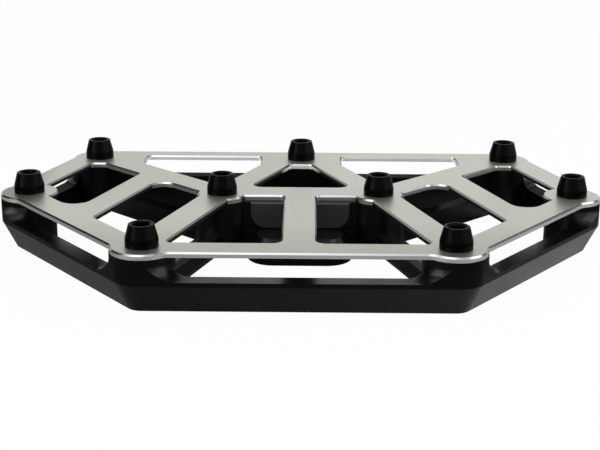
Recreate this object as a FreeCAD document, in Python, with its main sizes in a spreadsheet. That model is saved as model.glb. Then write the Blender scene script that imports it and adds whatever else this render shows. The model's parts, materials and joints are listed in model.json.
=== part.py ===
import FreeCAD, Part
import math
import os

# Motorcycle mini floorboard: an open frame with a bevelled cover plate, held by nine studs that grip
# the boot. Millimetres, +Z up, +Y towards the machine, origin under the middle of the outline.

SIZES = {
    # Stud places
    "end_stud_x": 90.75,
    "front_stud_x": 46.0,
    "inner_stud_x": 26.2,
    "rear_stud_x": 74.5,
    "front_row_y": -53.0,
    "mid_row_y": 5.0,
    "rear_row_y": 53.0,
    # Outline: ears about the studs, and how far the cover plate's edges lie outside the stud lines
    "ear_radius": 9.5,
    "ear_blend": 4.0,
    "front_edge_offset": 6.5,
    "side_edge_offset": 7.25,
    "rear_side_offset": 8.5,
    # Cover plate and the borders and struts between its cut-outs
    "plate_thickness": 1.6,
    "plate_bevel": 0.5,
    "border": 10.0,
    "rear_border": 7.0,
    "centre_strut": 10.5,
    "crossbar_front": 2.1,
    "crossbar_width": 10.9,
    "front_strut_inside": 4.8,
    "front_strut_outside": 6.05,
    "middle_strut_place": 26.9,
    "middle_strut_width": 10.2,
    "rear_strut_front": 4.2,
    "rear_strut_back": 6.1,
    "centre_rear_strut": 10.0,
    "rear_pad": 9.3,
    "rear_corner_pad": 17.5,
    "inner_pad_radius": 8.3,
    "front_pad_radius": 8.5,
    "small_corner": 1.5,
    "corner": 3.0,
    "wide_corner": 5.0,
    # Frame: a chamfered rim with posts up to the plate, ribs, a hub and the mounting block
    "frame_height": 17.0,
    "rim_wall": 5.5,
    "rim_top": 10.4,
    "chamfer_height": 9.0,
    "chamfer_inset": 4.4,
    "trim_allowance": 1.0,
    "post_radius": 9.8,
    "post_foot": 5.0,
    "post_foot_overlap": 0.05,
    "end_post_shift": 3.0,
    "end_post_out": 1.9,
    "inner_post_radius": 9.0,
    "rib_width": 6.8,
    "rib_shoulder": 1.4,
    "rib_shoulder_height": 6.3,
    "rear_rib_shoulder_height": 8.0,
    "rib_foot_inset": 0.8,
    "rib_foot_height": 2.0,
    "hub_half_width": 17.0,
    "hub_front": -15.9,
    "hub_height": 8.0,
    "hub_corner": 8.5,
    "hub_nose_height": 5.0,
    "hub_nose_depth": 3.0,
    "bridge_front": 0.0,
    "bridge_back": 10.0,
    "mount_half_width": 14.75,
    "mount_bolt_spacing": 18.0,
    "mount_bolt_height": 8.5,
    "mount_bolt_diameter": 8.0,
    "mount_bolt_depth": 14.0,
    # Studs
    "stud_diameter": 10.0,
    "stud_height": 6.7,
    "stud_band": 2.3,
    "stud_rim_diameter": 7.7,
    "stud_shoulder": 4.0,
    "stud_edge": 0.3,
    "socket_mouth": 6.3,
    "socket_mouth_depth": 0.5,
    "socket_width": 5.0,
    "socket_depth": 3.2,
    "thread_diameter": 6.0,
    "thread_length": 9.0,
    "thread_clearance": 0.05,
    "thread_run_out": 1.0,
    "plate_hole_clearance": 0.2,
}

doc = FreeCAD.newDocument("mini_floorboard")
sheet = doc.addObject("Spreadsheet::Sheet", "sizes")
for row, (name, value) in enumerate(SIZES.items(), start=1):
    sheet.set("A%d" % row, name)
    sheet.set("B%d" % row, str(value))
    sheet.setAlias("B%d" % row, name)
doc.recompute()


def size(name):
    """One driving dimension, read from the sheet."""
    return float(sheet.get(name))


# Plan geometry


def spot(x, y):
    """A point of the plan."""
    return FreeCAD.Vector(x, y, 0.0)


def line(start, end, shift=0.0):
    """The line through two points as point and direction, moved to the left of start to end by shift."""
    along = (end - start).normalize()
    return start + spot(-along.y, along.x) * shift, along


def across(y):
    """The line of constant y."""
    return spot(0.0, y), spot(1.0, 0.0)


def upright(x):
    """The line of constant x."""
    return spot(x, 0.0), spot(0.0, 1.0)


def meet(first, second):
    """The point where two lines cross."""
    gap = second[0] - first[0]
    slant = first[1].x * second[1].y - first[1].y * second[1].x
    return first[0] + first[1] * ((gap.x * second[1].y - gap.y * second[1].x) / slant)


def mirrored(corners):
    """The same corners on the other side of the middle."""
    return [(spot(-point.x, point.y), radius) for point, radius in corners]


def straight(start, end):
    """A straight stretch of an outline."""
    return Part.LineSegment(start, end)


def arc_about(centre, radius, start, end):
    """The shorter arc about a centre between two points on it."""
    outward = ((start + end) / 2.0 - centre).normalize()
    return Part.ArcOfCircle(start, centre + outward * radius, end)


def circle(centre, radius):
    """A full circle of the plan."""
    return Part.Circle(centre, FreeCAD.Vector(0.0, 0.0, 1.0), radius)


def rounded_outline(corners):
    """Straight edges between corners (point, radius), with an arc at each corner that has a radius."""
    stretches = []
    ends = []
    for index, (point, radius) in enumerate(corners):
        back = (corners[index - 1][0] - point).normalize()
        ahead = (corners[(index + 1) % len(corners)][0] - point).normalize()
        if radius == 0.0:
            ends.append((point, point))
            continue
        half = back.getAngle(ahead) / 2.0
        start = point + back * (radius / math.tan(half))
        end = point + ahead * (radius / math.tan(half))
        centre = point + (back + ahead).normalize() * (radius / math.sin(half))
        stretches.append(arc_about(centre, radius, start, end))
        ends.append((start, end))
    for index, (start, _) in enumerate(ends):
        stretches.append(straight(ends[index - 1][1], start))
    return stretches


def eared_outline(studs, offsets, radius, blend):
    """Edges parallel to the stud lines, a round ear about each stud and a hollow blend on either side.

    The studs run anticlockwise, and offsets[i] is how far the edge from stud i to the next lies out.
    """
    stretches = []
    edges = []
    for index, stud in enumerate(studs):
        following = studs[(index + 1) % len(studs)]
        offset = offsets[index]
        out, along = line(stud, following, -(offset + blend))
        inward = spot(-along.y, along.x)
        step = math.sqrt(max((radius + blend) ** 2 - (offset + blend) ** 2, 0.0))
        centres = (out + along * step, out + along * ((following - stud).Length - step))
        feet = [centre + inward * blend for centre in centres]
        touches = []
        for anchor, centre in zip((stud, following), centres):
            touches.append(anchor + (centre - anchor) * (radius / (radius + blend)))
        if step > 0.0:
            stretches.append(arc_about(centres[0], blend, touches[0], feet[0]))
            stretches.append(arc_about(centres[1], blend, feet[1], touches[1]))
        stretches.append(straight(*feet))
        edges.append(touches)
    for index, stud in enumerate(studs):
        stretches.append(arc_about(stud, radius, edges[index - 1][1], edges[index][0]))
    return stretches


def tangent_outline(studs, radius):
    """The outline that runs straight from stud to stud at one distance, round at each of them."""
    return eared_outline(studs, [radius] * len(studs), radius, 0.0)


END = spot(size("end_stud_x"), size("mid_row_y"))
FRONT = spot(size("front_stud_x"), size("front_row_y"))
INNER = spot(size("inner_stud_x"), size("mid_row_y"))
REAR = spot(size("rear_stud_x"), size("rear_row_y"))
REAR_CENTRE = spot(0.0, size("rear_row_y"))
STRUT_END = spot(size("centre_strut") / 2.0, size("rear_row_y"))


def other_side(point):
    """The same point on the other side of the middle."""
    return spot(-point.x, point.y)


PERIMETER = [FRONT, END, REAR, other_side(REAR), other_side(END), other_side(FRONT)]

# Degrees by which a bevelled disc draws in as it rises
BEVEL_TAPER = -45.0
STUDS = {
    "stud_front_left": other_side(FRONT),
    "stud_front_right": FRONT,
    "stud_inner_left": other_side(INNER),
    "stud_inner_right": INNER,
    "stud_end_left": other_side(END),
    "stud_end_right": END,
    "stud_rear_left": other_side(REAR),
    "stud_rear_centre": REAR_CENTRE,
    "stud_rear_right": REAR,
}


# Features


def new_body(name):
    body = doc.addObject("PartDesign::Body", name)
    body.Label = name
    return body


def plan_sketch(body, name, stretches, height="0"):
    """A sketch on the body's ground plane, lifted by an expression in the sheet's words."""
    return sketch_on(body, name, "XY_Plane", stretches, height)


def sketch_on(body, name, role, stretches, height="0"):
    """A sketch on one of the body's own origin planes, moved along its normal."""
    sketch = body.newObject("Sketcher::SketchObject", name)
    plane = [feature for feature in body.Origin.OriginFeatures if feature.Role == role][0]
    sketch.AttachmentSupport = [(plane, "")]
    sketch.MapMode = "FlatFace"
    sketch.setExpression("AttachmentOffset.Base.z", height)
    for stretch in stretches:
        sketch.addGeometry(stretch, False)
    return sketch


def pad(body, name, stretches, length, height="0"):
    """A plan outline made solid from a height upwards."""
    feature = body.newObject("PartDesign::Pad", name)
    feature.Profile = plan_sketch(body, name + "_outline", stretches, height)
    feature.setExpression("Length", length)
    doc.recompute()
    return feature


def pocket(body, name, stretches, depth, height):
    """A plan outline cut down from a height."""
    before = body.Shape.Volume
    feature = body.newObject("PartDesign::Pocket", name)
    feature.Profile = plan_sketch(body, name + "_outline", stretches, height)
    feature.setExpression("Length", depth)
    doc.recompute()
    if body.Shape.Volume >= before:
        raise RuntimeError(name + " cuts nothing")
    return feature


def turn(body, name, stretches):
    """A half section in the body's front plane turned round its upright axis."""
    feature = body.newObject("PartDesign::Revolution", name)
    sketch = sketch_on(body, name + "_section", "XZ_Plane", stretches)
    feature.Profile = sketch
    feature.ReferenceAxis = (sketch, ["V_Axis"])
    doc.recompute()
    return feature


# Cover plate


def cut_outs():
    """The corners of the openings on the right, and of the middle one, worked out from the struts."""
    small = size("small_corner")
    medium = size("corner")
    wide = size("wide_corner")
    border = size("border")
    front = across(size("front_row_y") - size("front_edge_offset") + border)
    side = line(FRONT, END, border - size("side_edge_offset"))
    rear_side = line(END, REAR, border - size("rear_side_offset"))
    rear = across(size("rear_row_y") + size("ear_radius") - size("rear_border"))
    pad_front = across(size("rear_row_y") - size("rear_pad"))
    strut_side = upright(size("centre_strut") / 2.0)
    bar_front = across(size("crossbar_front"))
    bar_back = across(size("crossbar_front") + size("crossbar_width"))
    front_strut_left = line(INNER, FRONT, -size("front_strut_inside"))
    front_strut_right = line(INNER, FRONT, size("front_strut_outside"))
    middle_strut_left = line(INNER, FRONT, size("middle_strut_place"))
    middle_strut_right = line(INNER, FRONT, size("middle_strut_place") + size("middle_strut_width"))
    rear_strut_front = line(INNER, REAR, -size("rear_strut_front"))
    rear_strut_back = line(INNER, REAR, size("rear_strut_back"))
    centre_rear_left = line(INNER, STRUT_END, size("centre_rear_strut") / 2.0)
    centre_rear_right = line(INNER, STRUT_END, -size("centre_rear_strut") / 2.0)
    mount_side = upright(size("mount_half_width"))
    corner_pad = upright(size("rear_stud_x") - size("rear_corner_pad"))
    beside_strut = [
        (meet(strut_side, front), medium),
        (meet(front, front_strut_left), small),
        (meet(front_strut_left, bar_front), 0.0),
        (meet(bar_front, strut_side), small),
    ]
    between_struts = [
        (meet(front_strut_right, side), medium),
        (meet(side, middle_strut_left), small),
        (meet(middle_strut_left, rear_strut_front), wide),
        (meet(rear_strut_front, front_strut_right), wide),
    ]
    outer = [
        (meet(middle_strut_right, side), wide),
        (meet(side, rear_side), 0.0),
        (meet(rear_side, pad_front), small),
        (meet(pad_front, rear_strut_front), small),
        (meet(rear_strut_front, middle_strut_right), small),
    ]
    behind = [
        (meet(centre_rear_right, rear_strut_back), medium),
        (meet(rear_strut_back, corner_pad), medium),
        (meet(corner_pad, rear), small),
        (meet(rear, mount_side), small),
        (meet(mount_side, centre_rear_right), small),
    ]
    half_middle = [
        (meet(centre_rear_left, pad_front), small),
        (meet(centre_rear_left, bar_back), medium),
    ]
    middle = half_middle + mirrored(reversed(half_middle))
    pairs = [beside_strut, between_struts, outer, behind]
    return [middle] + pairs + [mirrored(corners) for corners in pairs]


def make_plate():
    body = new_body("top_plate")
    offsets = [
        size("side_edge_offset"),
        size("rear_side_offset"),
        size("ear_radius"),
        size("rear_side_offset"),
        size("side_edge_offset"),
        size("front_edge_offset"),
    ]
    outline = eared_outline(PERIMETER, offsets, size("ear_radius"), size("ear_blend"))
    top = "sizes.frame_height + sizes.plate_thickness"
    pad(body, "plate_blank", outline, "sizes.plate_thickness", "sizes.frame_height")
    openings = [stretch for corners in cut_outs() for stretch in rounded_outline(corners)]
    plate = pocket(body, "plate_openings", openings, "sizes.plate_thickness", top)
    level = size("frame_height") + size("plate_thickness")
    upper = []
    for index, face in enumerate(plate.Shape.Faces, start=1):
        if face.BoundBox.ZMin > level - size("plate_bevel"):
            upper.append("Face%d" % index)
    bevel = body.newObject("PartDesign::Chamfer", "plate_bevel")
    bevel.Base = (plate, upper)
    bevel.setExpression("Size", "sizes.plate_bevel")
    doc.recompute()
    discs = []
    for stud, radius in ((END, "ear_radius"), (INNER, "inner_pad_radius"), (FRONT, "front_pad_radius")):
        discs += [circle(stud, size(radius)), circle(other_side(stud), size(radius))]
    pad(body, "stud_pads", discs, "sizes.plate_thickness - sizes.plate_bevel", "sizes.frame_height")
    tops = pad(body, "stud_pad_tops", discs, "sizes.plate_bevel", top + " - sizes.plate_bevel")
    tops.TaperAngle = BEVEL_TAPER
    doc.recompute()
    hole = size("thread_diameter") / 2.0 + size("plate_hole_clearance")
    holes = [circle(place, hole) for place in STUDS.values()]
    pocket(body, "stud_holes", holes, "sizes.plate_thickness", top)
    return body


# Frame


def make_hull():
    """The outer form: a tall block on the stud outline, drawn in towards the bottom."""
    body = new_body("frame_hull")
    block = pad(body, "hull_block", tangent_outline(PERIMETER, size("ear_radius")), "sizes.frame_height")
    lower = []
    for index, face in enumerate(block.Shape.Faces, start=1):
        if face.BoundBox.ZMax < size("chamfer_height"):
            lower.append("Face%d" % index)
    chamfer = body.newObject("PartDesign::Chamfer", "hull_chamfer")
    chamfer.Base = (block, lower)
    chamfer.ChamferType = "Two distances"
    chamfer.setExpression("Size", "sizes.chamfer_height")
    chamfer.setExpression("Size2", "sizes.chamfer_inset")
    doc.recompute()
    return body


def rib_section(shoulder_height, top):
    """Cross-section of a rib: drawn in at the foot, with sloped shoulders under a narrower top."""
    half = size("rib_width") / 2.0
    shoulder = size("rib_shoulder")
    right = [
        (spot(half - size("rib_foot_inset"), 0.0), 0.0),
        (spot(half, size("rib_foot_height")), 0.0),
        (spot(half, shoulder_height), 0.0),
        (spot(half - shoulder, shoulder_height + shoulder), 0.0),
    ]
    if top > shoulder_height + shoulder:
        right.append((spot(half - shoulder, top), 0.0))
    return rounded_outline(right + mirrored(reversed(right)))


def make_ribs():
    """The straight ribs from the inner posts: low ones to the front and middle rear, tall ones to the rear."""
    low = rib_section(size("rib_shoulder_height"), 0.0)
    tall = rib_section(size("rear_rib_shoulder_height"), size("frame_height"))
    ahead = FreeCAD.Vector(0.0, -1.0, 0.0)
    ribs = []
    for end, section in ((FRONT, low), (STRUT_END, low), (REAR, tall)):
        for start, far in ((INNER, end), (other_side(INNER), other_side(end))):
            index = len(ribs) + 1
            body = new_body("rib_%d" % index)
            bar = body.newObject("PartDesign::Pad", "rib_bar_%d" % index)
            bar.Profile = sketch_on(body, "rib_section_%d" % index, "XZ_Plane", section)
            bar.Length = (far - start).Length
            body.Placement = FreeCAD.Placement(start, FreeCAD.Rotation(ahead, far - start))
            ribs.append(body)
    doc.recompute()
    return ribs


def box_outline(half_width, front, back, front_corner=0.0):
    """A plan box about the middle, with round front corners."""
    return rounded_outline([
        (spot(-half_width, front), front_corner),
        (spot(half_width, front), front_corner),
        (spot(half_width, back), 0.0),
        (spot(-half_width, back), 0.0),
    ])


def hub_outline():
    """The hub's plan, with round front corners."""
    return box_outline(size("hub_half_width"), size("hub_front"), size("bridge_back"), size("hub_corner"))


def nose_edges(hub):
    """The names of the hub's upper front edges."""
    names = []
    for index, edge in enumerate(hub.Edges, start=1):
        upper = edge.BoundBox.ZMin > size("hub_height") / 2.0
        if upper and edge.BoundBox.YMin < size("hub_front") + size("hub_nose_depth"):
            names.append("Edge%d" % index)
    return names


def make_layout():
    """Rim, posts and hub before the outer form trims them."""
    body = new_body("frame_layout")
    hub = pad(body, "hub", hub_outline(), "sizes.hub_height")
    nose = body.newObject("PartDesign::Chamfer", "hub_nose")
    nose.Base = (hub, nose_edges(hub.Shape))
    nose.ChamferType = "Two distances"
    nose.setExpression("Size", "sizes.hub_nose_height")
    nose.setExpression("Size2", "sizes.hub_nose_depth")
    doc.recompute()
    bridge = box_outline(size("inner_stud_x"), size("bridge_front"), size("bridge_back"))
    pad(body, "bridge", bridge, "sizes.frame_height")
    posts = [circle(place, size("inner_post_radius")) for place in (INNER, other_side(INNER))]
    pad(body, "inner_posts", posts, "sizes.frame_height")
    pad(body, "rim", rim_outline(), "sizes.rim_top")
    posts = [circle(place, size("post_radius")) for place in post_places()]
    pad(body, "posts", posts, "sizes.frame_height")
    return body


def rim_outline():
    """The rim's plan: wider than the outer form, which trims it, with a wall's thickness left inside."""
    return tangent_outline(PERIMETER, size("ear_radius") + size("trim_allowance")) + rim_inside()


def rim_inside():
    """The plan of the open space within the rim."""
    return tangent_outline(PERIMETER, size("ear_radius") - size("rim_wall"))


def post_places():
    """The axes of the outer posts: under their studs, with those at the ends further out and back."""
    end = END + spot(size("end_post_out"), size("end_post_shift"))
    places = [end, FRONT, REAR]
    return places + [other_side(place) for place in places]


def foot_profile(radius, level):
    """Half section of the hollow flare at a post's foot, let into the post and what it stands on."""
    lap = size("post_foot_overlap")
    flare = size("post_foot")
    centre = spot(radius + flare - lap, level + flare - lap)
    wall = spot(centre.x - flare, centre.y)
    floor = spot(centre.x, centre.y - flare)
    core = spot(wall.x - flare, centre.y)
    sunk = spot(core.x, floor.y - lap)
    skirt = spot(floor.x, sunk.y)
    return [
        arc_about(centre, flare, wall, floor),
        straight(floor, skirt),
        straight(skirt, sunk),
        straight(sunk, core),
        straight(core, wall),
    ]


def flares(name, places, profile):
    """The same flared foot about each of several posts."""
    bodies = []
    for index, place in enumerate(places, start=1):
        body = new_body("%s_%d" % (name, index))
        turn(body, "%s_flare_%d" % (name, index), profile)
        body.Placement.Base = place
        bodies.append(body)
    feet = doc.addObject("Part::MultiFuse", name)
    feet.Shapes = bodies
    return feet


def make_feet():
    """The flared feet of the outer posts, which stop at the inside of the rim."""
    feet = flares("post_feet", post_places(), foot_profile(size("post_radius"), size("rim_top")))
    inside = new_body("rim_inside")
    pad(inside, "inside_block", rim_inside(), "sizes.frame_height")
    trimmed = doc.addObject("Part::Cut", "post_feet_on_rim")
    trimmed.Base = feet
    trimmed.Tool = inside
    doc.recompute()
    return trimmed


def make_inner_feet():
    """The flared feet of the inner posts, which stand on the hub."""
    profile = foot_profile(size("inner_post_radius"), size("hub_height"))
    feet = flares("inner_feet", [INNER, other_side(INNER)], profile)
    over_hub = new_body("over_hub")
    pad(over_hub, "over_hub_block", hub_outline(), "sizes.frame_height")
    trimmed = doc.addObject("Part::MultiCommon", "inner_feet_on_hub")
    trimmed.Shapes = [feet, over_hub]
    doc.recompute()
    return trimmed


def make_mount_block():
    """The block behind the rear middle stud, with an upright face that the adapter bolts against."""
    body = new_body("mount_block")
    front = size("rear_row_y") - size("rear_pad")
    back = size("rear_row_y") + size("ear_radius")
    outline = box_outline(size("mount_half_width"), front, back, size("corner"))
    pad(body, "mount_block_pad", outline, "sizes.frame_height")
    return body


def drill(name, diameter, depth, mouth, turn_about_x=0.0):
    """A round hole's volume: its mouth at a point, and its depth downwards, or turned about X from there."""
    hole = doc.addObject("Part::Cylinder", name)
    hole.setExpression("Radius", "%s / 2" % diameter)
    hole.setExpression("Height", depth)
    level_axis = FreeCAD.Vector(1.0, 0.0, 0.0)
    hole.Placement = FreeCAD.Placement(mouth, FreeCAD.Rotation(level_axis, 180.0 + turn_about_x))
    return hole


def make_holes():
    """Tapped holes under the studs, and the two of the mount, which open at the rear."""
    holes = []
    depth = "sizes.thread_length - sizes.plate_thickness + sizes.thread_run_out"
    for name, place in STUDS.items():
        mouth = place + FreeCAD.Vector(0.0, 0.0, size("frame_height"))
        holes.append(drill("hole_" + name, "sizes.thread_diameter", depth, mouth))
    half = size("mount_bolt_spacing") / 2.0
    back = size("rear_row_y") + size("ear_radius")
    for index, x in enumerate((-half, half), start=1):
        mouth = FreeCAD.Vector(x, back, size("mount_bolt_height"))
        name = "hole_mount_%d" % index
        holes.append(drill(name, "sizes.mount_bolt_diameter", "sizes.mount_bolt_depth", mouth, -90.0))
    together = doc.addObject("Part::MultiFuse", "frame_holes")
    together.Shapes = holes
    doc.recompute()
    return together


def make_frame():
    pieces = [make_layout(), make_feet(), make_inner_feet()] + make_ribs()
    hull = make_hull()
    whole = doc.addObject("Part::MultiFuse", "frame_untrimmed")
    whole.Shapes = pieces
    doc.recompute()
    trimmed = doc.addObject("Part::MultiCommon", "frame_trimmed")
    trimmed.Shapes = [whole, hull]
    doc.recompute()
    blank = doc.addObject("Part::MultiFuse", "frame_blank")
    blank.Shapes = [trimmed, make_mount_block()]
    blank.Refine = True
    holes = make_holes()
    frame = doc.addObject("Part::Cut", "frame")
    frame.Label = "frame"
    frame.Base = blank
    frame.Tool = holes
    doc.recompute()
    return frame


# Studs


def stud_profile():
    """Half section about the axis, seated at zero: shank below, band, tapered side and dished mouth above."""
    shank = size("thread_diameter") / 2.0 - size("thread_clearance")
    base = size("stud_diameter") / 2.0
    rim = size("stud_rim_diameter") / 2.0
    top = size("stud_height")
    foot = -size("thread_length")
    dish = top - size("socket_mouth_depth")
    return rounded_outline([
        (spot(0.0, foot), 0.0),
        (spot(shank, foot), 0.0),
        (spot(shank, 0.0), 0.0),
        (spot(base, 0.0), 0.0),
        (spot(base, size("stud_band")), size("stud_shoulder")),
        (spot(rim, top), size("stud_edge")),
        (spot(size("socket_mouth") / 2.0, top), 0.0),
        (spot(size("socket_width") / 2.0, dish), 0.0),
        (spot(0.0, dish), 0.0),
    ])


def make_stud(name, place):
    body = new_body(name)
    turn(body, name + "_turned", stud_profile())
    reach = size("socket_width") / math.sqrt(3.0)
    angles = [math.radians(60.0 * step) for step in range(6)]
    socket = [(spot(reach * math.cos(angle), reach * math.sin(angle)), 0.0) for angle in angles]
    pocket(body, name + "_socket", rounded_outline(socket), "sizes.socket_depth", "sizes.stud_height")
    body.Placement.Base = place
    body.setExpression("Placement.Base.z", "sizes.frame_height + sizes.plate_thickness")
    return body


parts = [make_frame(), make_plate()]
for stud_name, stud_place in STUDS.items():
    parts.append(make_stud(stud_name, stud_place))
doc.recompute()

for item in doc.Objects:
    if "Invalid" in item.State or "Error" in item.State:
        raise RuntimeError("%s failed to build" % item.Name)
for part in parts:
    if part.Shape.isNull() or not part.Shape.isValid() or len(part.Shape.Solids) != 1:
        raise RuntimeError("%s is not one sound solid" % part.Label)

os.makedirs("parts", exist_ok=True)
for part in parts:
    part.Shape.exportStep("parts/%s.step" % part.Label)
    print(part.Label, round(part.Shape.Volume, 1), part.Shape.BoundBox)
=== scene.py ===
import json
import math

import bmesh
import bpy
from bpy.props import FloatProperty, FloatVectorProperty, IntProperty, PointerProperty
from mathutils import Matrix, Vector


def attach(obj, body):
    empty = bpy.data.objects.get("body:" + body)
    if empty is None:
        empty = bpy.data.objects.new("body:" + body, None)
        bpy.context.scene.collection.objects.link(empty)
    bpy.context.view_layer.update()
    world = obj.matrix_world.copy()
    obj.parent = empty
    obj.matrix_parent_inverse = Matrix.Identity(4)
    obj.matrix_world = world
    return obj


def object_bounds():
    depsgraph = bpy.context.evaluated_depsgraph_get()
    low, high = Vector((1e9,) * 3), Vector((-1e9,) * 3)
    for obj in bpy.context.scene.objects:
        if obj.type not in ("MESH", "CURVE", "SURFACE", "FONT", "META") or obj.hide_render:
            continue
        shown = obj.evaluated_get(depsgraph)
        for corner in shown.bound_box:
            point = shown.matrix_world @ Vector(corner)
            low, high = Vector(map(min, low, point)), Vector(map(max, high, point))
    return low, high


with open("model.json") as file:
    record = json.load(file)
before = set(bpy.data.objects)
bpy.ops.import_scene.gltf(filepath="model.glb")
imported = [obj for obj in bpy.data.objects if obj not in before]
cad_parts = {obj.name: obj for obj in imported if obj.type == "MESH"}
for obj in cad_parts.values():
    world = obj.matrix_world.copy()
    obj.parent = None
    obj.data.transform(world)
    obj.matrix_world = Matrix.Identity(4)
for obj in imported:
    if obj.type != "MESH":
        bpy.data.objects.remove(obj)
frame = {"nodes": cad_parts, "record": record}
CAD_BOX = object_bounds()

bl_info = {
    "name": "Mini floorboard finish",
    "version": (1, 0, 0),
    "blender": (4, 5, 0),
    "location": "3D View > Sidebar > Floorboard",
    "description": "Gives the packed floorboard its finishes, boss and thread detail, and a studio",
    "category": "Object",
}

BODY = "root"
STUDS = sorted(name for name in frame["nodes"] if name.startswith("stud_"))
MOUNT = next(mount for mount in frame["record"]["mounts"] if mount["name"] == "adapter_bolts")
MILLIMETRE = 0.001
WHITE = (1.0, 1.0, 1.0, 1.0)


# Shader values and materials

EDGE_SAMPLES = 6
EDGE_TURN = (0.01, 0.16)  # turn of the rounded normal over a rubbed edge
COAT_SOCKETS = {"gloss": "Specular IOR Level", "metallic": "Metallic"}


class Value:
    """A socket that carries a number: an expression on it adds Math nodes."""

    def __init__(self, nodes, socket):
        self.nodes = nodes
        self.socket = socket

    def maths(self, operation, *terms):
        return self.nodes.node("ShaderNodeMath", {"operation": operation}, dict(enumerate(terms)))

    def __add__(self, other):
        return self.maths("ADD", self, other)

    __radd__ = __add__

    def __mul__(self, other):
        return self.maths("MULTIPLY", self, other)

    __rmul__ = __mul__

    def __sub__(self, other):
        return self.maths("SUBTRACT", self, other)

    def __rsub__(self, other):
        return self.maths("SUBTRACT", other, self)

    def __abs__(self):
        return self.maths("ABSOLUTE", self)

    def least(self, other):
        return self.maths("MINIMUM", self, other)

    def most(self, other):
        return self.maths("MAXIMUM", self, other)

    def clamped(self):
        return self.most(0.0).least(1.0)


class Nodes:
    """The node tree of a material or the world, and the one way its nodes are added."""

    def __init__(self, owner, output_kind):
        owner.use_nodes = True
        self.tree = owner.node_tree
        self.tree.nodes.clear()
        self.output = self.tree.nodes.new(output_kind)

    def node(self, kind, settings=None, sockets=None, output=0):
        made = self.tree.nodes.new(kind)
        for key, value in (settings or {}).items():
            setattr(made, key, value)
        for key, value in (sockets or {}).items():
            self.feed(made.inputs[key], value)
        return Value(self, made.outputs[output])

    def feed(self, socket, value):
        if isinstance(value, Value):
            self.tree.links.new(value.socket, socket)
        else:
            socket.default_value = value

    def surface(self, value):
        self.feed(self.output.inputs["Surface"], value)

    def light_path(self, kind):
        return self.node("ShaderNodeLightPath", output=kind)

    def mirrored(self):
        """One where metal or glass shows what stands round it."""
        return self.light_path("Is Glossy Ray").most(self.light_path("Is Transmission Ray"))

    def mix_shaders(self, share, first, second):
        return self.node("ShaderNodeMixShader", None, {0: share, 1: first, 2: second})


class Finish(Nodes):
    """A material, and the places, noises and masks that it is made from."""

    def __init__(self, name):
        self.material = bpy.data.materials.new(name)
        super().__init__(self.material, "ShaderNodeOutputMaterial")

    def place(self, stretch=(1.0, 1.0, 1.0)):
        spot = self.node("ShaderNodeTexCoord", output="Object")
        return self.node("ShaderNodeVectorMath", {"operation": "MULTIPLY"}, {0: spot, 1: stretch})

    def place_part(self, axis):
        return self.node("ShaderNodeSeparateXYZ", None, {0: self.place()}, output=axis)

    def facing(self):
        return self.node("ShaderNodeNewGeometry", output="True Normal")

    def facing_part(self, axis):
        return self.node("ShaderNodeSeparateXYZ", None, {0: self.facing()}, output=axis)

    def noise(self, place, scale, detail, roughness):
        return self.node("ShaderNodeTexNoise", None, {
            "Vector": place, "Scale": scale, "Detail": detail, "Roughness": roughness})

    def between(self, value, low, high):
        return self.node("ShaderNodeMapRange", {"interpolation_type": "SMOOTHSTEP"},
                         {"Value": value, "From Min": low, "From Max": high})

    def dot(self, first, second):
        return self.node("ShaderNodeVectorMath", {"operation": "DOT_PRODUCT"},
                         {0: first, 1: second}, output="Value")

    def scaled(self, colour, share):
        return self.node("ShaderNodeVectorMath", {"operation": "SCALE"},
                         {0: colour, "Scale": share})

    def mix(self, share, first, second):
        return self.node("ShaderNodeMix", {"data_type": "RGBA"},
                         {"Factor": share, 6: first, 7: second}, output=2)

    def bump(self, height, distance, strength):
        return self.node("ShaderNodeBump", None, {
            "Height": height, "Distance": distance, "Strength": strength})

    def edges(self, width):
        """One along the edges of a shape, nothing on its faces."""
        rounded = self.node("ShaderNodeBevel", {"samples": EDGE_SAMPLES}, {"Radius": width})
        return self.between(1.0 - self.dot(rounded, self.facing()), *EDGE_TURN)

    def matt(self, colour):
        return self.node("ShaderNodeBsdfDiffuse", None, {"Color": colour})

    def coat(self, tone, rough, normal, **constants):
        """The main shader: what varies comes first, then its constant sockets."""
        sockets = {"Base Color": tone, "Roughness": rough.clamped(), "Normal": normal}
        for key, value in constants.items():
            sockets[COAT_SOCKETS[key]] = value
        return self.node("ShaderNodeBsdfPrincipled", None, sockets)


def swing(noise, amount):
    """The swing of a noise or a mask round zero."""
    return (noise - 0.5) * amount


def as_colour(values):
    return (values[0], values[1], values[2], 1.0)


def dress(node, finish):
    slots = frame["nodes"][node].material_slots
    if not slots:
        raise RuntimeError("node %s has no material slot" % node)
    for material_slot in slots:
        material_slot.material = finish.material


# Sizes and colours that a user would change

class FrameLook(bpy.types.PropertyGroup):
    colour: FloatVectorProperty(
        name="Frame colour", description="Black of the anodised frame",
        subtype="COLOR", size=3, min=0.0, max=1.0, default=(0.0014, 0.0015, 0.0015))
    worn_colour: FloatVectorProperty(
        name="Edge colour", description="Rubbed black along the frame's edges",
        subtype="COLOR", size=3, min=0.0, max=1.0, default=(0.010, 0.010, 0.0105))
    roughness: FloatProperty(
        name="Roughness", description="Roughness of the frame's satin black",
        subtype="FACTOR", min=0.05, max=1.0, default=0.29)
    gloss: FloatProperty(
        name="Gloss", description="Strength of the frame's reflections",
        subtype="FACTOR", min=0.0, max=1.0, default=0.20)
    # Painted shade: how far the upward faces on the frame's rear half turn matt black without
    # reflections
    rear_top_painted_shade: FloatProperty(
        name="Matt tops", description="How matt the frame's upper faces are towards the rear",
        subtype="FACTOR", min=0.0, max=1.0, default=0.85)
    grain: FloatProperty(
        name="Grain", description="Size of one grain of the blasted surface",
        subtype="DISTANCE", unit="LENGTH", min=0.0001, max=0.002, default=0.0005)


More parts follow.
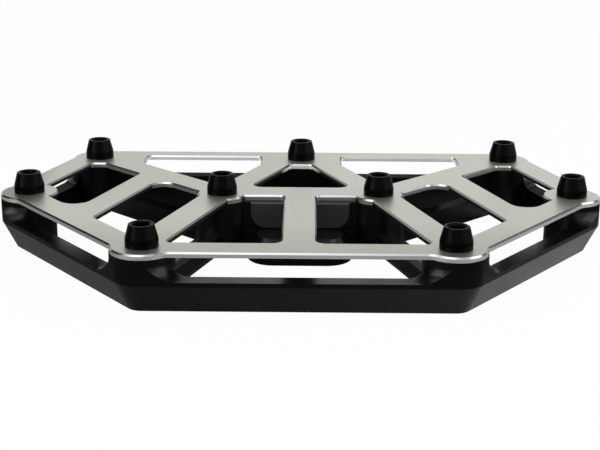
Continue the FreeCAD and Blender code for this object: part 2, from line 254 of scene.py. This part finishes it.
class PlateLook(bpy.types.PropertyGroup):
    colour: FloatVectorProperty(
        name="Plate colour", description="Satin light alloy of the cover plate",
        subtype="COLOR", size=3, min=0.0, max=1.0, default=(0.45, 0.447, 0.405))
    bevel_colour: FloatVectorProperty(
        name="Bevel colour", description="Bright alloy of the machined bevels",
        subtype="COLOR", size=3, min=0.0, max=1.0, default=(0.42, 0.416, 0.40))
    # Painted highlight: brighter alloy on the cut-outs' bevels that face front or back
    cut_bevel_painted_highlight: FloatVectorProperty(
        name="Cut-out bevels", description="Bright alloy of the cut-outs' bevels",
        subtype="COLOR", size=3, min=0.0, max=1.0, default=(0.50, 0.496, 0.484))
    # Painted shade: duller alloy on the cut-outs' bevels that face sideways
    side_bevel_painted_shade: FloatVectorProperty(
        name="Cut-out side bevels", description="Duller alloy of the cut-outs' side bevels",
        subtype="COLOR", size=3, min=0.0, max=1.0, default=(0.21, 0.208, 0.20))
    # Painted reflection: very pale alloy on the rear cut-outs' walls
    rear_cut_painted_reflection: FloatVectorProperty(
        name="Rear cut-out walls", description="Bright alloy of the rear cut-outs' walls",
        subtype="COLOR", size=3, min=0.0, max=1.0, default=(0.90, 0.895, 0.88))
    # Painted shade: darker alloy on the cut-outs' upright walls
    cut_wall_painted_shade: FloatVectorProperty(
        name="Cut-out walls", description="Darker alloy of the cut-outs' upright walls",
        subtype="COLOR", size=3, min=0.0, max=1.0, default=(0.24, 0.238, 0.232))
    # Painted shade: darkest alloy on the cut-outs' walls that face sideways
    cut_side_painted_shade: FloatVectorProperty(
        name="Cut-out sides", description="Darkest alloy, on the cut-outs' side walls",
        subtype="COLOR", size=3, min=0.0, max=1.0, default=(0.03, 0.0298, 0.029))
    # Painted light: paler alloy on the plate's upright outer walls
    edge_painted_light: FloatVectorProperty(
        name="Edge colour", description="Alloy of the plate's upright outer edges",
        subtype="COLOR", size=3, min=0.0, max=1.0, default=(0.58, 0.575, 0.565))
    roughness: FloatProperty(
        name="Roughness", description="Roughness of the plate's satin face",
        subtype="FACTOR", min=0.05, max=1.0, default=0.40)
    grain: FloatProperty(
        name="Grain", description="Size of one grain of the blasted surface",
        subtype="DISTANCE", unit="LENGTH", min=0.0001, max=0.002, default=0.00035)


class StudLook(bpy.types.PropertyGroup):
    colour: FloatVectorProperty(
        name="Stud colour", description="Black oxide of the traction studs",
        subtype="COLOR", size=3, min=0.0, max=1.0, default=(0.0006, 0.0007, 0.0007))
    rubbed_colour: FloatVectorProperty(
        name="Rim colour", description="Rubbed steel along a stud's rims",
        subtype="COLOR", size=3, min=0.0, max=1.0, default=(0.03, 0.03, 0.03))
    roughness: FloatProperty(
        name="Roughness", description="Roughness of the black oxide",
        subtype="FACTOR", min=0.05, max=1.0, default=0.30)
    gloss: FloatProperty(
        name="Gloss", description="Strength of the studs' reflections",
        subtype="FACTOR", min=0.0, max=1.0, default=0.035)


class ThreadLook(bpy.types.PropertyGroup):
    pitch: FloatProperty(
        name="Thread pitch", description="Rise of one turn of the mount holes' thread",
        subtype="DISTANCE", unit="LENGTH", min=0.0005, max=0.003, default=0.00125)
    depth: FloatProperty(
        name="Thread depth", description="Height of the thread's crest above the hole's wall",
        subtype="DISTANCE", unit="LENGTH", min=0.0001, max=0.002, default=0.00066)
    length: FloatProperty(
        name="Threaded length", description="How far the thread runs into the frame",
        subtype="DISTANCE", unit="LENGTH", min=0.004, max=0.014, default=0.0115)
    steps: IntProperty(
        name="Steps a turn", description="Points in one turn of the thread",
        min=12, max=96, default=40)


class BossLook(bpy.types.PropertyGroup):
    half_width: FloatProperty(
        name="Boss half width", description="From the middle to the side of the bridge's boss",
        subtype="DISTANCE", unit="LENGTH", min=0.005, max=0.017, default=0.0164)
    bottom: FloatProperty(
        name="Boss bottom", description="Height of the boss's lower edge",
        subtype="DISTANCE", unit="LENGTH", min=0.002, max=0.012, default=0.0081)
    top: FloatProperty(
        name="Boss top", description="Height of the boss's upper edge, under the cover plate",
        subtype="DISTANCE", unit="LENGTH", min=0.012, max=0.017, default=0.0169)
    front: FloatProperty(
        name="Boss front", description="Where the boss's face stands, from front to back",
        subtype="DISTANCE", unit="LENGTH", min=-0.01, max=0.0, default=-0.0012)
    back: FloatProperty(
        name="Boss back", description="How far the boss is let into the bridge",
        subtype="DISTANCE", unit="LENGTH", min=0.0, max=0.005, default=0.0004)
    corner: FloatProperty(
        name="Boss corner", description="Radius of the boss's lower corners",
        subtype="DISTANCE", unit="LENGTH", min=0.001, max=0.008, default=0.005)
    edge: FloatProperty(
        name="Boss edge", description="Width of the rounding round the boss's face",
        subtype="DISTANCE", unit="LENGTH", min=0.0001, max=0.001, default=0.0004)
    colour: FloatVectorProperty(
        name="Boss colour", description="Machined black of the boss's face",
        subtype="COLOR", size=3, min=0.0, max=1.0, default=(0.010, 0.0103, 0.0104))
    roughness: FloatProperty(
        name="Boss roughness", description="Roughness of the machined face",
        subtype="FACTOR", min=0.05, max=1.0, default=0.50)
    gloss: FloatProperty(
        name="Boss gloss", description="Strength of the machined face's reflections",
        subtype="FACTOR", min=0.0, max=1.0, default=0.5)


class StageLook(bpy.types.PropertyGroup):
    place: FloatVectorProperty(
        name="Camera place", description="Where the camera stands",
        subtype="TRANSLATION", unit="LENGTH", size=3, default=(0.00237, -0.41679, 0.13644))
    pitch: FloatProperty(
        name="Look down", description="How far the camera looks down",
        subtype="ANGLE", unit="ROTATION", default=math.radians(17.0))
    yaw: FloatProperty(
        name="Look aside", description="How far the camera looks to the right",
        subtype="ANGLE", unit="ROTATION", default=-0.0057)
    roll: FloatProperty(
        name="Roll", description="How far the camera is rolled",
        subtype="ANGLE", unit="ROTATION", default=0.0065)
    lens: FloatProperty(
        name="Lens", description="Focal length in millimetres on a 36 mm sensor",
        subtype="DISTANCE_CAMERA", unit="CAMERA", min=20.0, max=300.0, default=78.42)
    floor_colour: FloatVectorProperty(
        name="Floor colour", description="Matt pale floor under the part",
        subtype="COLOR", size=3, min=0.0, max=1.0, default=(0.60, 0.60, 0.60))
    # Painted light and shade on the floor as the metal mirrors it: darker on the left, lighter on
    # the right, darkest in front, lighter behind
    painted_left_floor: FloatVectorProperty(
        name="Floor on the left", description="How the floor on the left shows in the metal",
        subtype="COLOR", size=3, min=0.0, max=1.0, default=(0.27, 0.27, 0.27))
    painted_right_floor: FloatVectorProperty(
        name="Floor on the right", description="How the floor on the right shows in the metal",
        subtype="COLOR", size=3, min=0.0, max=1.0, default=(0.74, 0.74, 0.74))
    painted_front_floor: FloatVectorProperty(
        name="Floor in front", description="How the floor in front shows in the metal",
        subtype="COLOR", size=3, min=0.0, max=1.0, default=(0.16, 0.16, 0.16))
    painted_back_floor: FloatVectorProperty(
        name="Floor behind", description="How the floor behind shows in the metal",
        subtype="COLOR", size=3, min=0.0, max=1.0, default=(0.55, 0.55, 0.55))
    # Painted shadow under the part, seen only in the metal
    painted_shadow_under: FloatVectorProperty(
        name="Floor under the part", description="How the floor under the part shows in the metal",
        subtype="COLOR", size=3, min=0.0, max=1.0, default=(0.05, 0.05, 0.05))
    # Painted falloff of the light on the floor seen in the metal
    fade: FloatProperty(
        name="Fade", description="How much the floor seen in the metal darkens away from the part",
        subtype="FACTOR", min=0.0, max=1.0, default=0.96)
    floor_size: FloatProperty(
        name="Floor size", description="Width of the floor",
        subtype="DISTANCE", unit="LENGTH", min=0.5, max=20.0, default=8.0)
    whiteness: FloatProperty(
        name="Whiteness", description="How much of the floor's shade is left out of the picture",
        subtype="FACTOR", min=0.0, max=1.0, default=0.975)
    # Share of the floor seen in the metal that glows with its painted light and shade
    mirrored_painted_glow: FloatProperty(
        name="Mirrored whiteness", description="The same for the floor seen in the metal",
        subtype="FACTOR", min=0.0, max=1.0, default=0.9)
    card_colour: FloatVectorProperty(
        name="Card colour", description="Black of the cards that keep the frame dark",
        subtype="COLOR", size=3, min=0.0, max=1.0, default=(0.02, 0.02, 0.02))
    fill: FloatProperty(
        name="Fill light", description="Strength of the even light from all round",
        min=0.0, max=2.0, default=0.55)
    top_power: FloatProperty(
        name="Top light", description="Power of the softbox above",
        subtype="POWER", unit="POWER", min=0.0, max=50.0, default=2.4)
    left_power: FloatProperty(
        name="Left light", description="Power of the softbox on the left",
        subtype="POWER", unit="POWER", min=0.0, max=50.0, default=3.0)
    right_power: FloatProperty(
        name="Right light", description="Power of the softbox on the right",
        subtype="POWER", unit="POWER", min=0.0, max=50.0, default=5.4)


# Finishes. A pair of numbers is where a mask starts and where it is full: metres for places,
# a share of the unit normal for the way a face looks.

WALL_RISE = (0.2, 0.4)
BEVEL_RISE = (0.5, 0.6)
FLAT_RISE = (0.85, 0.95)

# Sides of the outline in plan: the normal's two parts and the distance from the middle
FRONT_SIDE = (0.802, -0.597, 0.0742)
REAR_SIDE = (0.835, 0.550, 0.0945)
HALF_DEPTH = 0.0625


def outside_board(finish):
    """How far a spot lies outside the board's six-sided outline."""
    half = abs(finish.place_part("X"))
    away = finish.place_part("Y")
    front_side, rear_side = (half * across + away * along - reach
                             for across, along, reach in (FRONT_SIDE, REAR_SIDE))
    return front_side.most(rear_side).most(away - HALF_DEPTH).most(-HALF_DEPTH - away)


FRAME_PATCHES = 90.0
FRAME_EDGE = 0.0005
FRAME_WORN = (0.35, 0.65)
FRAME_WEAR = 0.8
# Where the painted shade on the frame's rear tops starts and is full, front to back
PAINTED_SHADE_REAR_SPAN = (0.0, 0.01)
FRAME_PATCH_ROUGHNESS = 0.10
FRAME_GRAIN_ROUGHNESS = 0.10
FRAME_RUBBED_POLISH = 0.06


def frame_finish(look):
    """Blasted satin black, rubbed along its edges; its upward faces on the rear half turn matt
    black without reflections, as painted shade.
    """
    finish = Finish("frame_black")
    place = finish.place()
    grain = finish.noise(place, 1.0 / look.grain, detail=2.0, roughness=0.6)
    patches = finish.noise(place, FRAME_PATCHES, detail=4.0, roughness=0.6)
    rubbed = finish.edges(FRAME_EDGE) * finish.between(patches, *FRAME_WORN)
    tone = finish.mix(rubbed * FRAME_WEAR, as_colour(look.colour), as_colour(look.worn_colour))
    rough = look.roughness + swing(patches, FRAME_PATCH_ROUGHNESS)
    rough = rough + swing(grain, FRAME_GRAIN_ROUGHNESS) - rubbed * FRAME_RUBBED_POLISH
    relief = finish.bump(grain, distance=0.00003, strength=0.35)
    satin = finish.coat(tone, rough, relief, gloss=look.gloss)
    # Painted shade: upward faces on the rear half lose their reflections and turn matt black
    tops = finish.between(finish.facing_part("Z"), *FLAT_RISE)
    painted_shade_tops = tops * finish.between(finish.place_part("Y"), *PAINTED_SHADE_REAR_SPAN)
    matt = finish.matt(as_colour(look.colour))
    finish.surface(finish.mix_shaders(painted_shade_tops * look.rear_top_painted_shade, satin, matt))
    return finish


BOSS_MARKS = 120.0
BOSS_MARK_STRETCH = (1.0, 1.0, 12.0)
BOSS_GRAIN = 1800.0
BOSS_MARK_TONE = 0.6
BOSS_MARK_ROUGHNESS = 0.12
BOSS_GRAIN_ROUGHNESS = 0.08


def boss_finish(look):
    """Machined black with level tool marks."""
    finish = Finish("boss_black")
    grain = finish.noise(finish.place(), BOSS_GRAIN, detail=2.0, roughness=0.6)
    marks = finish.noise(finish.place(BOSS_MARK_STRETCH), BOSS_MARKS, detail=3.0, roughness=0.6)
    tone = finish.scaled(tuple(look.colour), 1.0 + swing(marks, BOSS_MARK_TONE))
    rough = look.roughness + swing(marks, BOSS_MARK_ROUGHNESS) + swing(grain, BOSS_GRAIN_ROUGHNESS)
    relief = finish.bump(grain, distance=0.00002, strength=0.30)
    finish.surface(finish.coat(tone, rough, relief, gloss=look.gloss))
    return finish


PLATE_PATCHES = 45.0
PLATE_TONE = 0.985
PLATE_GRAIN_TONE = 0.14
PLATE_PATCH_TONE = 0.05
PLATE_PATCH_ROUGHNESS = 0.08
PLATE_GRAIN_ROUGHNESS = 0.08
BEVEL_POLISH = 0.16
WALL_ROUGHNESS = 0.15
# Painted shade and light on the plate's face: darker along the front, darker to the left and
# lighter to the right on the rear half, darker on the left ear
PAINTED_SHADE_FRONT_STRIP = (-0.06, -0.02)
PAINTED_SHADE_FRONT = 0.20
PAINTED_LIGHT_REAR_HALF = (-0.02, 0.02)
PAINTED_LIGHT_LEFT_TO_RIGHT = (-0.03, 0.03)
PAINTED_LIGHT_REAR = 0.14
PAINTED_SHADE_LEFT_EAR = (-0.084, -0.097)
PAINTED_SHADE_LEFT_EAR_DEPTH = 0.55
OUTER_RIM = (-0.0105, -0.0095)
OUTWARD = (0.0, 0.003)
# Masks for the painted shade on sideways bevels and walls, and for the painted reflection on the
# rear cut-outs' walls
PAINTED_SHADE_SIDE_BEVEL = (0.52, 0.62)
PAINTED_SHADE_SIDE_WALL = (0.75, 0.85)
PAINTED_REFLECTION_REAR_FRONT = (0.036, 0.040)
PAINTED_REFLECTION_REAR_SIDE = (0.059, 0.057)


def plate_tone(finish, look, grain, patches):
    """The satin face: blasted, with painted shade along the front and on the left ear, and painted
    light running from left to right across the rear half.
    """
    across, away = finish.place_part("X"), finish.place_part("Y")
    behind = finish.between(away, *PAINTED_LIGHT_REAR_HALF)
    shade = PLATE_TONE + swing(grain, PLATE_GRAIN_TONE) + swing(patches, PLATE_PATCH_TONE)
    # Painted shade along the front, painted light and shade from left to right across the rear
    # half, painted shade on the left ear
    shade = shade + swing(finish.between(away, *PAINTED_SHADE_FRONT_STRIP), PAINTED_SHADE_FRONT)
    shade = shade + swing(finish.between(across, *PAINTED_LIGHT_LEFT_TO_RIGHT), PAINTED_LIGHT_REAR) * behind
    shade = shade - finish.between(across, *PAINTED_SHADE_LEFT_EAR) * PAINTED_SHADE_LEFT_EAR_DEPTH
    return finish.scaled(tuple(look.colour), shade)


def plate_finish(look):
    """Satin alloy with bevels and upright walls in painted light and shade: painted highlights on
    the cut-outs' front and back bevels, painted shade on their side bevels and walls, a painted
    reflection on the rear cut-outs' walls, and paler outer walls as painted light.
    """
    finish = Finish("plate_satin")
    place = finish.place()
    grain = finish.noise(place, 1.0 / look.grain, detail=2.0, roughness=0.65)
    patches = finish.noise(place, PLATE_PATCHES, detail=5.0, roughness=0.6)
    face = plate_tone(finish, look, grain, patches)

    rise = finish.facing_part("Z")
    bevel = finish.between(rise, *BEVEL_RISE) * (1.0 - finish.between(rise, *FLAT_RISE))
    upright = 1.0 - finish.between(rise, *WALL_RISE)
    outward = finish.dot(finish.place((1.0, 1.0, 0.0)), finish.facing())
    rim = finish.between(outward, *OUTWARD) * finish.between(outside_board(finish), *OUTER_RIM)
    aside = abs(finish.facing_part("X"))

    # Painted highlight on the cut-outs' front and back bevels, painted shade on their sideways
    # bevels; the outer bevels keep the bevel colour
    painted_cut_bevel = finish.mix(finish.between(aside, *PAINTED_SHADE_SIDE_BEVEL),
                           as_colour(look.cut_bevel_painted_highlight), as_colour(look.side_bevel_painted_shade))
    bright = finish.mix(rim, painted_cut_bevel, as_colour(look.bevel_colour))

    # Painted reflection on the rear cut-outs' walls, painted shade on the other cut-outs' walls
    # (darkest where they face sideways), painted light on the outer walls
    painted_reflection_rear = finish.between(finish.place_part("Y"), *PAINTED_REFLECTION_REAR_FRONT)
    painted_reflection_rear = painted_reflection_rear * finish.between(abs(finish.place_part("X")), *PAINTED_REFLECTION_REAR_SIDE)
    wall = finish.mix(finish.between(aside, *PAINTED_SHADE_SIDE_WALL),
                      as_colour(look.cut_wall_painted_shade), as_colour(look.cut_side_painted_shade))
    wall = finish.mix(painted_reflection_rear, wall, as_colour(look.rear_cut_painted_reflection))
    uprights_painted = finish.mix(rim, wall, as_colour(look.edge_painted_light))

    tone = finish.mix(upright, finish.mix(bevel, face, bright), uprights_painted)
    rough = look.roughness + swing(patches, PLATE_PATCH_ROUGHNESS)
    rough = rough + swing(grain, PLATE_GRAIN_ROUGHNESS)
    rough = rough - bevel * BEVEL_POLISH + upright * WALL_ROUGHNESS
    relief = finish.bump(grain, distance=0.00002, strength=0.30)
    finish.surface(finish.coat(tone, rough, relief, metallic=1.0))
    return finish


STUD_GRAIN = 2600.0
STUD_PATCHES = 260.0
STUD_EDGE = 0.0003
STUD_WORN = (0.30, 0.60)
STUD_PATCH_ROUGHNESS = 0.12
STUD_GRAIN_ROUGHNESS = 0.08


def stud_finish(look):
    """Black oxide, rubbed along the rims."""
    finish = Finish("stud_black")
    place = finish.place()
    grain = finish.noise(place, STUD_GRAIN, detail=2.0, roughness=0.6)
    patches = finish.noise(place, STUD_PATCHES, detail=3.0, roughness=0.6)
    rubbed = finish.edges(STUD_EDGE) * finish.between(patches, *STUD_WORN)
    tone = finish.mix(rubbed, as_colour(look.colour), as_colour(look.rubbed_colour))
    rough = look.roughness + swing(patches, STUD_PATCH_ROUGHNESS)
    rough = rough + swing(grain, STUD_GRAIN_ROUGHNESS)
    relief = finish.bump(grain, distance=0.00002, strength=0.25)
    finish.surface(finish.coat(tone, rough, relief, gloss=look.gloss))
    return finish


# Pieces

THREAD_FOOT = 0.42   # half the ridge's foot, as a share of the pitch
THREAD_CREST = 0.08  # half its crest
THREAD_START = 0.5   # where the first turn starts, in turns from the mouth
CORNER_STEPS = 12
EDGE_SEGMENTS = 3
FACE_TOLERANCE = 0.01 * MILLIMETRE


def add_piece(name, shape):
    bmesh.ops.recalc_face_normals(shape, faces=shape.faces)
    mesh = bpy.data.meshes.new(name)
    shape.to_mesh(mesh)
    shape.free()
    piece = bpy.data.objects.new(name, mesh)
    bpy.context.scene.collection.objects.link(piece)
    return piece


def thread_ridge(name, mouth, radius, look):
    """One helical ridge on the wall of a mount hole, with ends that run out."""
    shape = bmesh.new()
    last = int(look.length / look.pitch * look.steps)
    foot = look.pitch * THREAD_FOOT
    crest = look.pitch * THREAD_CREST
    rings = []
    for step in range(last + 1):
        angle = 2.0 * math.pi * step / look.steps
        from_end = min(step, last - step) / look.steps
        inner = radius - look.depth * min(1.0, from_end)
        depth = look.pitch * (THREAD_START + step / look.steps)
        section = ((radius, -foot), (inner, -crest), (inner, crest), (radius, foot))
        rings.append([shape.verts.new((mouth.x + out * math.cos(angle),
                                       mouth.y - depth + along,
                                       mouth.z + out * math.sin(angle)))
                      for out, along in section])
    for before, after in zip(rings, rings[1:]):
        for index in range(len(before)):
            follow = (index + 1) % len(before)
            shape.faces.new((before[index], before[follow], after[follow], after[index]))
    shape.faces.new(reversed(rings[0]))
    shape.faces.new(rings[-1])
    piece = add_piece(name, shape)
    piece.data.shade_smooth()
    return piece


def boss_block(name, look):
    """A flat block with two round lower corners and a rounded face."""
    shape = bmesh.new()
    outline = [(-look.half_width, look.top)]
    for side, first in ((-1.0, math.pi), (1.0, 1.5 * math.pi)):
        middle = side * (look.half_width - look.corner)
        for step in range(CORNER_STEPS + 1):
            angle = first + 0.5 * math.pi * step / CORNER_STEPS
            outline.append((middle + look.corner * math.cos(angle),
                            look.bottom + look.corner * (1.0 + math.sin(angle))))
    outline.append((look.half_width, look.top))
    face = shape.faces.new([shape.verts.new((x, look.front, z)) for x, z in outline])
    grown = bmesh.ops.extrude_face_region(shape, geom=[face])
    moved = [item for item in grown["geom"] if isinstance(item, bmesh.types.BMVert)]
    bmesh.ops.translate(shape, verts=moved, vec=(0.0, look.back - look.front, 0.0))
    rim = [edge for edge in shape.edges
           if all(abs(end.co.y - look.front) < FACE_TOLERANCE for end in edge.verts)]
    bmesh.ops.bevel(shape, geom=rim, offset=look.edge, segments=EDGE_SEGMENTS,
                    profile=0.5, affect="EDGES")
    return add_piece(name, shape)


class FLOORBOARD_OT_frame(bpy.types.Operator):
    """Give the frame its satin black"""
    bl_idname = "floorboard.frame"
    bl_label = "Finish frame"

    def execute(self, context):
        dress("frame", frame_finish(context.scene.floorboard_frame))
        return {"FINISHED"}


class FLOORBOARD_OT_boss(bpy.types.Operator):
    """Raise the machined boss on the bridge between the inner posts"""
    bl_idname = "floorboard.boss"
    bl_label = "Add bridge boss"

    def execute(self, context):
        look = context.scene.floorboard_boss
        piece = boss_block("bridge_boss", look)
        piece.data.materials.append(boss_finish(look).material)
        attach(piece, BODY)
        return {"FINISHED"}


class FLOORBOARD_OT_threads(bpy.types.Operator):
    """Cut the screw threads in the mount holes"""
    bl_idname = "floorboard.threads"
    bl_label = "Add mount threads"

    def execute(self, context):
        look = context.scene.floorboard_threads
        centre = Vector(MOUNT["pos_m"])
        half = 0.5 * MOUNT["dims"]["spacing_x_mm"] * MILLIMETRE
        radius = MOUNT["dims"]["hole_r_mm"] * MILLIMETRE
        black = frame["nodes"]["frame"].material_slots[0].material
        for side, away in (("left", -half), ("right", half)):
            mouth = centre + Vector((away, 0.0, 0.0))
            piece = thread_ridge("mount_thread_" + side, mouth, radius, look)
            piece.data.materials.append(black)
            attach(piece, BODY)
        return {"FINISHED"}


class FLOORBOARD_OT_plate(bpy.types.Operator):
    """Give the cover plate its satin face and bevels, with painted light and shade on its face,
    bevels and walls
    """
    bl_idname = "floorboard.plate"
    bl_label = "Finish cover plate"

    def execute(self, context):
        dress("top_plate", plate_finish(context.scene.floorboard_plate))
        return {"FINISHED"}


class FLOORBOARD_OT_studs(bpy.types.Operator):
    """Give the traction studs their black oxide"""
    bl_idname = "floorboard.studs"
    bl_label = "Finish studs"

    def execute(self, context):
        if not STUDS:
            raise RuntimeError("the packed model has no studs")
        oxide = stud_finish(context.scene.floorboard_studs)
        for name in STUDS:
            dress(name, oxide)
        return {"FINISHED"}


# Stage

FLOOR_GAP = 0.0002
SENSOR_WIDTH = 36.0
NEAREST_SEEN = 0.01
AIM = Vector((0.0, 0.0, 0.0))

# Masks for the painted light and shade on the floor seen in the metal, in metres
PAINTED_FLOOR_ACROSS = (-0.06, 0.10)
PAINTED_FLOOR_FRONT = (-0.13, -0.07)
PAINTED_FLOOR_BACK = (0.055, 0.085)
PAINTED_FADE_SPAN = (0.0, 0.03)
PAINTED_SHADOW_SPAN = (-0.020, -0.006)

# Black cards that only reflections see: name, start, end, bottom and top
CARDS = (
    ("left_card", (-0.7, -0.5), (-0.7, 0.65), 0.01, 1.4),
    ("right_card", (0.7, -0.5), (0.7, 0.65), 0.3, 1.4),
    ("right_back_card", (0.7, 0.65), (0.7, 1.4), 0.3, 0.5),
)

# Softboxes: name, place, width, height and the property with the power
SOFTBOXES = (
    ("top_softbox", (-0.32, -0.25, 0.90), 0.9, 0.5, "top_power"),
    ("left_softbox", (-0.6, -0.32, 0.28), 0.5, 0.4, "left_power"),
    ("right_softbox", (0.64, -0.17, 0.42), 0.84, 0.66, "right_power"),
)


def floor_finish(look):
    """White in the picture but for the part's shadow; where the metal mirrors it, it glows with
    painted light and shade: lighter on the right and behind, darker on the left and in front,
    fading away from the part, with a painted shadow under it.
    """
    finish = Finish("floor_white")
    seen = finish.light_path("Is Camera Ray")
    away = finish.place_part("Y")
    apart = outside_board(finish)
    # Painted light and shade: floor tones that only reflections see, lighter to the right and
    # behind, darker in front, fading away from the part
    beside = finish.mix(finish.between(finish.place_part("X"), *PAINTED_FLOOR_ACROSS),
                        as_colour(look.painted_left_floor), as_colour(look.painted_right_floor))
    tone = finish.mix(finish.between(away, *PAINTED_FLOOR_FRONT), as_colour(look.painted_front_floor), beside)
    faded = finish.scaled(tone, 1.0 - finish.between(apart, *PAINTED_FADE_SPAN) * look.fade)
    around = finish.mix(finish.between(away, *PAINTED_FLOOR_BACK), faded, as_colour(look.painted_back_floor))
    # Painted shadow under the part, seen only in the metal
    painted_floor_tones = finish.mix(finish.between(apart, *PAINTED_SHADOW_SPAN), as_colour(look.painted_shadow_under), around)
    bright = finish.node("ShaderNodeEmission", None, {
        "Color": finish.mix(seen, painted_floor_tones, WHITE), "Strength": 1.0})
    share = seen * look.whiteness + finish.mirrored() * look.mirrored_painted_glow
    finish.surface(finish.mix_shaders(share, finish.matt(as_colour(look.floor_colour)), bright))
    return finish


def light_world(look):
    world = bpy.data.worlds.new("studio")
    bpy.context.scene.world = world
    sky = Nodes(world, "ShaderNodeOutputWorld")
    shown = sky.light_path("Is Camera Ray").most(sky.mirrored())
    fill, white = (sky.node("ShaderNodeBackground", None, {"Color": WHITE, "Strength": strength})
                   for strength in (look.fill, 1.0))
    sky.surface(sky.mix_shaders(shown, fill, white))


def add_sheet(name, corners, finish):
    mesh = bpy.data.meshes.new(name)
    mesh.from_pydata(corners, [], [(0, 1, 2, 3)])
    mesh.materials.append(finish.material)
    sheet = bpy.data.objects.new(name, mesh)
    bpy.context.scene.collection.objects.link(sheet)
    return sheet


def add_floor(look):
    half = 0.5 * look.floor_size
    corners = [(-half, -half, 0.0), (half, -half, 0.0), (half, half, 0.0), (-half, half, 0.0)]
    floor = add_sheet("floor", corners, floor_finish(look))
    floor.location.z = CAD_BOX[0][2] - FLOOR_GAP


def add_card(name, start, end, bottom, top, look):
    finish = Finish(name)
    finish.surface(finish.matt(as_colour(look.card_colour)))
    corners = [start + (bottom,), end + (bottom,), end + (top,), start + (top,)]
    card = add_sheet(name, corners, finish)
    card.visible_camera = False
    card.visible_diffuse = False
    card.visible_shadow = False


def add_softbox(name, place, width, height, power):
    lamp = bpy.data.lights.new(name, "AREA")
    lamp.shape = "RECTANGLE"
    lamp.size = width
    lamp.size_y = height
    lamp.energy = power
    box = bpy.data.objects.new(name, lamp)
    bpy.context.scene.collection.objects.link(box)
    box.location = place
    box.rotation_euler = (AIM - Vector(place)).to_track_quat("-Z", "Y").to_euler()


def add_camera(look):
    ahead = Vector((math.sin(look.yaw) * math.cos(look.pitch),
                    math.cos(look.yaw) * math.cos(look.pitch),
                    -math.sin(look.pitch)))
    level = Vector((math.cos(look.yaw), -math.sin(look.yaw), 0.0))
    down = ahead.cross(level)
    right = math.cos(look.roll) * level - math.sin(look.roll) * down
    lower = math.sin(look.roll) * level + math.cos(look.roll) * down
    turn = Matrix((right, -lower, -ahead)).transposed().to_4x4()
    lens = bpy.data.cameras.new("camera")
    lens.sensor_width = SENSOR_WIDTH
    lens.lens = look.lens
    lens.clip_start = NEAREST_SEEN
    camera = bpy.data.objects.new("camera", lens)
    bpy.context.scene.collection.objects.link(camera)
    camera.matrix_world = Matrix.Translation(look.place) @ turn
    bpy.context.scene.camera = camera


class FLOORBOARD_OT_stage(bpy.types.Operator):
    """Set up the floor, the soft lights and the camera"""
    bl_idname = "floorboard.stage"
    bl_label = "Set up studio"

    def execute(self, context):
        look = context.scene.floorboard_stage
        context.scene.view_settings.view_transform = "Standard"
        light_world(look)
        add_floor(look)
        for card in CARDS:
            add_card(*card, look)
        for name, place, width, height, power in SOFTBOXES:
            add_softbox(name, place, width, height, getattr(look, power))
        add_camera(look)
        return {"FINISHED"}


# Panel and registration

class FLOORBOARD_PT_finish(bpy.types.Panel):
    bl_idname = "FLOORBOARD_PT_finish"
    bl_label = "Floorboard"
    bl_space_type = "VIEW_3D"
    bl_region_type = "UI"
    bl_category = "Floorboard"

    def draw(self, context):
        for name, (_, operator) in GROUPS.items():
            column = self.layout.column()
            look = getattr(context.scene, name)
            for key in look.bl_rna.properties.keys():
                if key not in ("rna_type", "name"):
                    column.prop(look, key)
            column.operator(operator)


GROUPS = {
    "floorboard_frame": (FrameLook, "floorboard.frame"),
    "floorboard_boss": (BossLook, "floorboard.boss"),
    "floorboard_threads": (ThreadLook, "floorboard.threads"),
    "floorboard_plate": (PlateLook, "floorboard.plate"),
    "floorboard_studs": (StudLook, "floorboard.studs"),
    "floorboard_stage": (StageLook, "floorboard.stage"),
}
CLASSES = (
    FrameLook, BossLook, ThreadLook, PlateLook, StudLook, StageLook,
    FLOORBOARD_OT_frame, FLOORBOARD_OT_boss, FLOORBOARD_OT_threads,
    FLOORBOARD_OT_plate, FLOORBOARD_OT_studs, FLOORBOARD_OT_stage,
    FLOORBOARD_PT_finish,
)


def register():
    for item in CLASSES:
        bpy.utils.register_class(item)
    for name, (look, _) in GROUPS.items():
        setattr(bpy.types.Scene, name, PointerProperty(type=look))


def unregister():
    for name in GROUPS:
        delattr(bpy.types.Scene, name)
    for item in reversed(CLASSES):
        bpy.utils.unregister_class(item)


def main():
    register()
    bpy.ops.floorboard.frame()
    bpy.ops.floorboard.boss()
    bpy.ops.floorboard.threads()
    bpy.ops.floorboard.plate()
    bpy.ops.floorboard.studs()
    bpy.ops.floorboard.stage()


if __name__ == "__main__":
    main()
